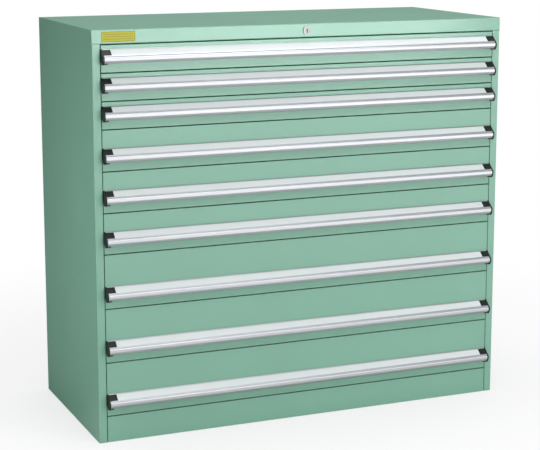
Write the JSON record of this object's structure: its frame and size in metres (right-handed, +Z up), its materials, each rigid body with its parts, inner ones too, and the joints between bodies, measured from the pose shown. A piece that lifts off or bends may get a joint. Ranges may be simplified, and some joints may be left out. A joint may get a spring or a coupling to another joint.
{
  "type": "industrial drawer cabinet",
  "caption": "Free-standing sheet-steel drawer cabinet with full-width drawers of three heights on full-extension slides, aluminium bar handles and a central lock.",
  "frame": {"origin": "on the floor, in the middle of the outline with the handles counted in", "axes": "+X to the right along the front, the front faces -Y, +Z up"},
  "size_m": [1.147, 0.5248, 1.05],
  "materials": {
    "green_paint": "light green powder coat with a fine orange peel, semi-gloss",
    "anodised_aluminium": "extruded, satin anodised",
    "black_plastic": "moulded, fine grain",
    "zinc_steel": "bright zinc plated",
    "lock_chrome": "satin nickel plated"
  },
  "bodies": {
    "carcass": {"side_panel_left": "green_paint", "side_panel_right": "green_paint", "top_panel": "green_paint", "back_panel": "green_paint", "plinth_panel": "green_paint", "base_frame": "green_paint", "floor_panel": "green_paint", "uprights": "zinc_steel", "cabinet_rails": "zinc_steel", "screws_and_rivets": "zinc_steel", "lock_housing": "lock_chrome", "lock_guides": "zinc_steel"},
    "drawer_1": {"drawer_1_front": "green_paint", "drawer_1_tray": "green_paint", "drawer_1_handle": "anodised_aluminium", "drawer_1_end_caps": "black_plastic"},
    "drawer_1_middle_rails": {"drawer_1_middle_rails": "zinc_steel"},
    "drawer_2": {"drawer_2_front": "green_paint", "drawer_2_tray": "green_paint", "drawer_2_handle": "anodised_aluminium", "drawer_2_end_caps": "black_plastic"},
    "drawer_2_middle_rails": {"drawer_2_middle_rails": "zinc_steel"},
    "drawer_3": {"drawer_3_front": "green_paint", "drawer_3_tray": "green_paint", "drawer_3_handle": "anodised_aluminium", "drawer_3_end_caps": "black_plastic"},
    "drawer_3_middle_rails": {"drawer_3_middle_rails": "zinc_steel"},
    "drawer_4": {"drawer_4_front": "green_paint", "drawer_4_tray": "green_paint", "drawer_4_handle": "anodised_aluminium", "drawer_4_end_caps": "black_plastic"},
    "drawer_4_middle_rails": {"drawer_4_middle_rails": "zinc_steel"},
    "drawer_5": {"drawer_5_front": "green_paint", "drawer_5_tray": "green_paint", "drawer_5_handle": "anodised_aluminium", "drawer_5_end_caps": "black_plastic"},
    "drawer_5_middle_rails": {"drawer_5_middle_rails": "zinc_steel"},
    "drawer_6": {"drawer_6_front": "green_paint", "drawer_6_tray": "green_paint", "drawer_6_handle": "anodised_aluminium", "drawer_6_end_caps": "black_plastic"},
    "drawer_6_middle_rails": {"drawer_6_middle_rails": "zinc_steel"},
    "drawer_7": {"drawer_7_front": "green_paint", "drawer_7_tray": "green_paint", "drawer_7_handle": "anodised_aluminium", "drawer_7_end_caps": "black_plastic"},
    "drawer_7_middle_rails": {"drawer_7_middle_rails": "zinc_steel"},
    "drawer_8": {"drawer_8_front": "green_paint", "drawer_8_tray": "green_paint", "drawer_8_handle": "anodised_aluminium", "drawer_8_end_caps": "black_plastic"},
    "drawer_8_middle_rails": {"drawer_8_middle_rails": "zinc_steel"},
    "drawer_9": {"drawer_9_front": "green_paint", "drawer_9_tray": "green_paint", "drawer_9_handle": "anodised_aluminium", "drawer_9_end_caps": "black_plastic"},
    "drawer_9_middle_rails": {"drawer_9_middle_rails": "zinc_steel"},
    "lock_bar": {"lock_bar": "zinc_steel"},
    "lock_core": {"lock_core": "lock_chrome"},
    "lock_rod": {"lock_rod": "zinc_steel"}
  },
  "joints": [
    {"name": "drawer_1_slide", "type": "slide", "parent": "carcass", "child": "drawer_1", "axis": [0, -1, 0], "range_m": [0, 0.42]},
    {"name": "drawer_1_middle_rails_slide", "type": "slide", "parent": "carcass", "child": "drawer_1_middle_rails", "axis": [0, -1, 0], "range_m": [0, 0.21]},
    {"name": "drawer_2_slide", "type": "slide", "parent": "carcass", "child": "drawer_2", "axis": [0, -1, 0], "range_m": [0, 0.42]},
    {"name": "drawer_2_middle_rails_slide", "type": "slide", "parent": "carcass", "child": "drawer_2_middle_rails", "axis": [0, -1, 0], "range_m": [0, 0.21]},
    {"name": "drawer_3_slide", "type": "slide", "parent": "carcass", "child": "drawer_3", "axis": [0, -1, 0], "range_m": [0, 0.42]},
    {"name": "drawer_3_middle_rails_slide", "type": "slide", "parent": "carcass", "child": "drawer_3_middle_rails", "axis": [0, -1, 0], "range_m": [0, 0.21]},
    {"name": "drawer_4_slide", "type": "slide", "parent": "carcass", "child": "drawer_4", "axis": [0, -1, 0], "range_m": [0, 0.42]},
    {"name": "drawer_4_middle_rails_slide", "type": "slide", "parent": "carcass", "child": "drawer_4_middle_rails", "axis": [0, -1, 0], "range_m": [0, 0.21]},
    {"name": "drawer_5_slide", "type": "slide", "parent": "carcass", "child": "drawer_5", "axis": [0, -1, 0], "range_m": [0, 0.42]},
    {"name": "drawer_5_middle_rails_slide", "type": "slide", "parent": "carcass", "child": "drawer_5_middle_rails", "axis": [0, -1, 0], "range_m": [0, 0.21]},
    {"name": "drawer_6_slide", "type": "slide", "parent": "carcass", "child": "drawer_6", "axis": [0, -1, 0], "range_m": [0, 0.42]},
    {"name": "drawer_6_middle_rails_slide", "type": "slide", "parent": "carcass", "child": "drawer_6_middle_rails", "axis": [0, -1, 0], "range_m": [0, 0.21]},
    {"name": "drawer_7_slide", "type": "slide", "parent": "carcass", "child": "drawer_7", "axis": [0, -1, 0], "range_m": [0, 0.42]},
    {"name": "drawer_7_middle_rails_slide", "type": "slide", "parent": "carcass", "child": "drawer_7_middle_rails", "axis": [0, -1, 0], "range_m": [0, 0.21]},
    {"name": "drawer_8_slide", "type": "slide", "parent": "carcass", "child": "drawer_8", "axis": [0, -1, 0], "range_m": [0, 0.42]},
    {"name": "drawer_8_middle_rails_slide", "type": "slide", "parent": "carcass", "child": "drawer_8_middle_rails", "axis": [0, -1, 0], "range_m": [0, 0.21]},
    {"name": "drawer_9_slide", "type": "slide", "parent": "carcass", "child": "drawer_9", "axis": [0, -1, 0], "range_m": [0, 0.42]},
    {"name": "drawer_9_middle_rails_slide", "type": "slide", "parent": "carcass", "child": "drawer_9_middle_rails", "axis": [0, -1, 0], "range_m": [0, 0.21]},
    {"name": "lock_bar_lift", "type": "slide", "parent": "carcass", "child": "lock_bar", "axis": [0, 0, 1], "range_m": [0, 0.01]},
    {"name": "lock_turn", "type": "hinge", "parent": "carcass", "child": "lock_core", "pos_m": [0, -0.2394, 1.0325], "axis": [0, 1, 0], "range_deg": [0, 90]},
    {"name": "lock_rod_shift", "type": "slide", "parent": "carcass", "child": "lock_rod", "axis": [1, 0, 0], "range_m": [0, 0.01]}
  ],
  "couplings": [
    {"joint": "drawer_1_middle_rails_slide", "follows": "drawer_1_slide", "ratio": 0.5},
    {"joint": "drawer_2_middle_rails_slide", "follows": "drawer_2_slide", "ratio": 0.5},
    {"joint": "drawer_3_middle_rails_slide", "follows": "drawer_3_slide", "ratio": 0.5},
    {"joint": "drawer_4_middle_rails_slide", "follows": "drawer_4_slide", "ratio": 0.5},
    {"joint": "drawer_5_middle_rails_slide", "follows": "drawer_5_slide", "ratio": 0.5},
    {"joint": "drawer_6_middle_rails_slide", "follows": "drawer_6_slide", "ratio": 0.5},
    {"joint": "drawer_7_middle_rails_slide", "follows": "drawer_7_slide", "ratio": 0.5},
    {"joint": "drawer_8_middle_rails_slide", "follows": "drawer_8_slide", "ratio": 0.5},
    {"joint": "drawer_9_middle_rails_slide", "follows": "drawer_9_slide", "ratio": 0.5},
    {"joint": "lock_turn", "follows": "lock_bar_lift", "rad_per_m": 157.07},
    {"joint": "lock_rod_shift", "follows": "lock_bar_lift", "ratio": 1}
  ]
}
